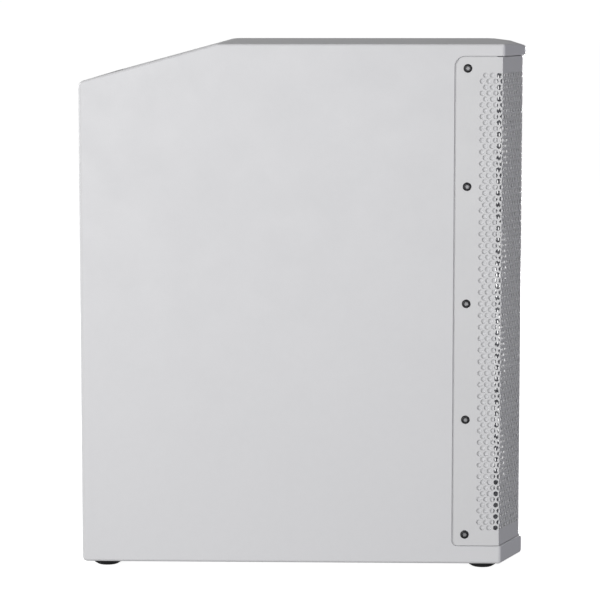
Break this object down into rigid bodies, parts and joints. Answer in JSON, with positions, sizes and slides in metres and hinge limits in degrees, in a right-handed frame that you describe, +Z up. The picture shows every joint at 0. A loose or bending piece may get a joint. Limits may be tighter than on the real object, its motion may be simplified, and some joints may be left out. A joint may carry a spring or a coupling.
{
  "type": "powered subwoofer",
  "caption": "White powered subwoofer cabinet with a folded perforated grille, sloped rear control panel, amplifier back plate and rubber feet.",
  "frame": {"origin": "on the floor under the middle of the cabinet", "axes": "+Z up, front faces -Y, +X is the right-hand side seen from the front"},
  "size_m": [0.343, 0.465, 0.552],
  "materials": {
    "white_paint": "white satin paint on plywood",
    "inner_paint": "thin white paint on plywood",
    "white_steel": "white powder coat, satin",
    "black_steel": "black zinc and wax",
    "rubber": "black, matt",
    "cast_metal": "black coated casting",
    "plain_steel": "zinc plated",
    "ferrite": "grey-black, matt",
    "cone_paper": "coated paper pulp",
    "copper": "enamelled winding",
    "black_panel": "black powder coat",
    "black_aluminium": "black anodised",
    "black_plastic": "moulded, fine texture",
    "grey_plastic": "moulded, smooth",
    "circuit_board": "green solder mask"
  },
  "bodies": {
    "cabinet": {"top_panel": "white_paint", "bottom_panel": "white_paint", "left_side_panel": "white_paint", "right_side_panel": "white_paint", "rear_panel": "white_paint", "slope_panel": "white_paint", "front_baffle": "inner_paint", "shelf_brace": "inner_paint", "grille_sheet": "white_steel", "grille_screw_left_1": "black_steel", "grille_screw_left_2": "black_steel", "grille_screw_left_3": "black_steel", "grille_screw_left_4": "black_steel", "grille_screw_left_5": "black_steel", "grille_screw_right_1": "black_steel", "grille_screw_right_2": "black_steel", "grille_screw_right_3": "black_steel", "grille_screw_right_4": "black_steel", "grille_screw_right_5": "black_steel", "foot_front_left": "rubber", "foot_front_right": "rubber", "foot_rear_left": "rubber", "foot_rear_right": "rubber", "woofer_gasket": "rubber", "woofer_basket": "cast_metal", "woofer_top_plate": "plain_steel", "woofer_back_plate": "plain_steel", "woofer_magnet": "ferrite", "transformer": "ferrite", "control_plate": "black_panel", "amplifier_plate": "black_panel", "heat_sink": "black_aluminium", "port_tube_left": "black_plastic", "port_tube_right": "black_plastic", "woofer_terminal_block": "black_plastic", "input_socket_1": "black_plastic", "input_socket_2": "black_plastic", "link_socket": "black_plastic", "mains_inlet": "black_plastic", "switch_housing": "black_plastic", "handle_dish": "black_plastic", "handle_bar": "black_plastic", "speaker_lead": "black_plastic", "filter_capacitor_1": "black_plastic", "filter_capacitor_2": "black_plastic", "control_ribbon": "grey_plastic", "control_board": "circuit_board", "main_board": "circuit_board"},
    "cone_assembly": {"woofer_cone": "cone_paper", "woofer_surround": "rubber", "woofer_dust_cap": "cone_paper", "woofer_voice_coil": "copper", "woofer_spider": "cone_paper"},
    "level_knob_1": {"level_knob_1": "black_plastic"},
    "level_knob_2": {"level_knob_2": "black_plastic"},
    "level_knob_3": {"level_knob_3": "black_plastic"},
    "level_knob_4": {"level_knob_4": "black_plastic"},
    "mode_button_1": {"mode_button_1": "grey_plastic"},
    "mode_button_2": {"mode_button_2": "grey_plastic"},
    "power_rocker": {"power_rocker": "black_plastic"}
  },
  "joints": [
    {"name": "woofer_travel", "type": "slide", "parent": "cabinet", "child": "cone_assembly", "axis": [0, -1, 0], "range_m": [-0.006, 0.006], "stiffness_N_per_m": 2500},
    {"name": "level_knob_1_turn", "type": "hinge", "parent": "cabinet", "child": "level_knob_1", "pos_m": [-0.096, 0.16944, 0.51949], "axis": [0, 0.2639, 0.9645], "range_deg": [-150, 150]},
    {"name": "level_knob_2_turn", "type": "hinge", "parent": "cabinet", "child": "level_knob_2", "pos_m": [-0.032, 0.16944, 0.51949], "axis": [0, 0.2639, 0.9645], "range_deg": [-150, 150]},
    {"name": "level_knob_3_turn", "type": "hinge", "parent": "cabinet", "child": "level_knob_3", "pos_m": [0.032, 0.16944, 0.51949], "axis": [0, 0.2639, 0.9645], "range_deg": [-150, 150]},
    {"name": "level_knob_4_turn", "type": "hinge", "parent": "cabinet", "child": "level_knob_4", "pos_m": [0.096, 0.16944, 0.51949], "axis": [0, 0.2639, 0.9645], "range_deg": [-150, 150]},
    {"name": "mode_button_1_press", "type": "slide", "parent": "cabinet", "child": "mode_button_1", "axis": [0, -0.2639, -0.9645], "range_m": [0, 0.0015], "stiffness_N_per_m": 600},
    {"name": "mode_button_2_press", "type": "slide", "parent": "cabinet", "child": "mode_button_2", "axis": [0, -0.2639, -0.9645], "range_m": [0, 0.0015], "stiffness_N_per_m": 600},
    {"name": "power_rocker_tilt", "type": "hinge", "parent": "cabinet", "child": "power_rocker", "pos_m": [0.072, 0.2218, 0.152], "axis": [-1, 0, 0], "range_deg": [0, 14]}
  ]
}
